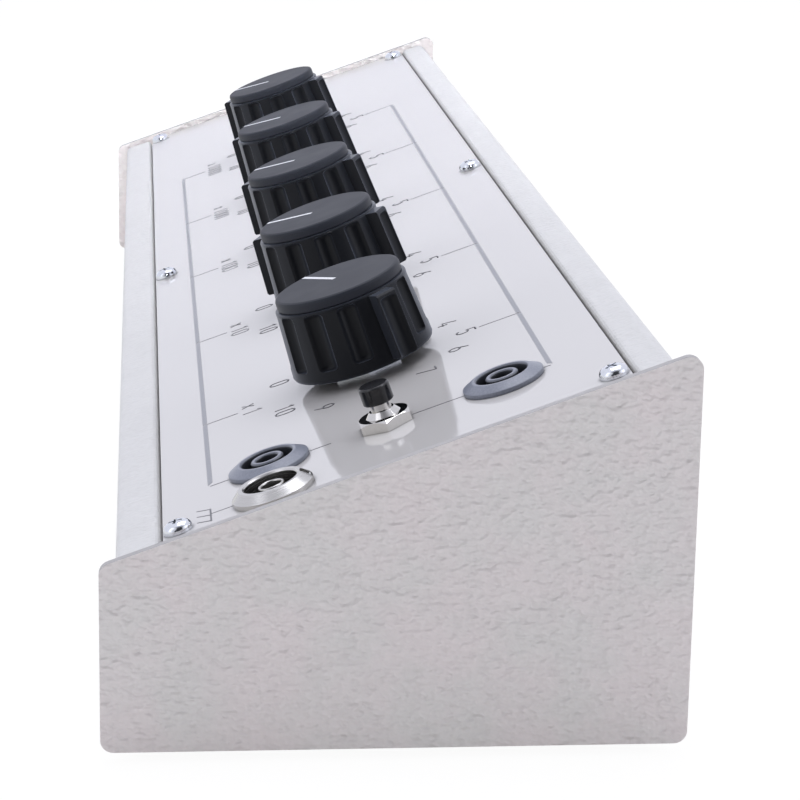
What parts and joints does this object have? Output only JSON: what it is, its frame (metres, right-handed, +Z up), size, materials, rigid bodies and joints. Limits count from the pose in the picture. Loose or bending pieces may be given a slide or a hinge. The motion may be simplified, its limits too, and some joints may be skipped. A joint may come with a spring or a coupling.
{
  "type": "capacitance decade box",
  "caption": "Long sloping sheet-metal decade box: rotary decade knobs in a row on a screwed panel, shrouded sockets, a chassis socket and a small push-button.",
  "frame": {"origin": "middle of the box's footprint, on the surface it stands on", "axes": "+X along the box towards the end with the sockets, +Y from the low front edge to the high rear edge, +Z up"},
  "size_m": [0.48, 0.11, 0.0796],
  "materials": {
    "case_paint": "fine-textured light grey paint",
    "plate_paint": "orange-peel textured grey paint",
    "panel_paint": "smooth glossy light grey paint",
    "zinc_steel": "bright zinc plating",
    "foot_rubber": "black rubber",
    "knob_plastic": "dark charcoal moulding with a soft sheen",
    "cap_plastic": "satin grey moulding",
    "collet_brass": "turned brass",
    "switch_plastic": "black moulding",
    "board_laminate": "green solder resist on laminate",
    "capacitor_case": "red box capacitors",
    "socket_plastic": "blue-grey moulding",
    "contact_brass": "plain brass",
    "nickel": "polished nickel plating",
    "button_plastic": "glossy black moulding",
    "tinned_wire": "tinned copper wire"
  },
  "bodies": {
    "box": {"case_body": "case_paint", "left_end_plate": "plate_paint", "right_end_plate": "plate_paint", "control_panel": "panel_paint", "panel_screws": "zinc_steel", "feet": "foot_rubber", "foot_screws": "zinc_steel", "foot_nuts": "zinc_steel", "switch_housing_1": "switch_plastic", "switch_housing_2": "switch_plastic", "switch_housing_3": "switch_plastic", "switch_housing_4": "switch_plastic", "switch_housing_5": "switch_plastic", "decade_board_1": "board_laminate", "decade_board_2": "board_laminate", "decade_board_3": "board_laminate", "decade_board_4": "board_laminate", "decade_board_5": "board_laminate", "capacitors_1": "capacitor_case", "capacitors_2": "capacitor_case", "capacitors_3": "capacitor_case", "capacitors_4": "capacitor_case", "capacitors_5": "capacitor_case", "switch_nuts": "zinc_steel", "front_socket": "socket_plastic", "rear_socket": "socket_plastic", "front_contact": "contact_brass", "rear_contact": "contact_brass", "chassis_socket": "nickel", "chassis_contact": "nickel", "socket_nuts": "zinc_steel", "button_bushing": "nickel", "button_nut": "nickel", "button_spring": "zinc_steel", "front_bus": "tinned_wire", "rear_bus": "tinned_wire", "earth_wire": "tinned_wire"},
    "knob_1": {"knob_body_1": "knob_plastic", "knob_cap_1": "cap_plastic", "knob_collet_1": "collet_brass", "switch_shaft_1": "zinc_steel"},
    "knob_2": {"knob_body_2": "knob_plastic", "knob_cap_2": "cap_plastic", "knob_collet_2": "collet_brass", "switch_shaft_2": "zinc_steel"},
    "knob_3": {"knob_body_3": "knob_plastic", "knob_cap_3": "cap_plastic", "knob_collet_3": "collet_brass", "switch_shaft_3": "zinc_steel"},
    "knob_4": {"knob_body_4": "knob_plastic", "knob_cap_4": "cap_plastic", "knob_collet_4": "collet_brass", "switch_shaft_4": "zinc_steel"},
    "knob_5": {"knob_body_5": "knob_plastic", "knob_cap_5": "cap_plastic", "knob_collet_5": "collet_brass", "switch_shaft_5": "zinc_steel"},
    "button": {"button_plunger": "nickel", "button_cap": "button_plastic"}
  },
  "joints": [
    {"name": "knob_1_turn", "type": "hinge", "parent": "box", "child": "knob_1", "pos_m": [0.162, -0.00342, 0.0658], "axis": [0, 0.3417, -0.9398], "range_deg": [-30, 270]},
    {"name": "knob_2_turn", "type": "hinge", "parent": "box", "child": "knob_2", "pos_m": [0.087, -0.00342, 0.0658], "axis": [0, 0.3417, -0.9398], "range_deg": [0, 300]},
    {"name": "knob_3_turn", "type": "hinge", "parent": "box", "child": "knob_3", "pos_m": [0.012, -0.00342, 0.0658], "axis": [0, 0.3417, -0.9398], "range_deg": [0, 300]},
    {"name": "knob_4_turn", "type": "hinge", "parent": "box", "child": "knob_4", "pos_m": [-0.063, -0.00342, 0.0658], "axis": [0, 0.3417, -0.9398], "range_deg": [0, 300]},
    {"name": "knob_5_turn", "type": "hinge", "parent": "box", "child": "knob_5", "pos_m": [-0.138, -0.00342, 0.0658], "axis": [0, 0.3417, -0.9398], "range_deg": [0, 300]},
    {"name": "button_press", "type": "slide", "parent": "box", "child": "button", "axis": [0, 0.3417, -0.9398], "range_m": [0, 0.0013], "stiffness_N_per_m": 800, "springref_m": -0.001, "deforming": ["button_spring"]}
  ]
}
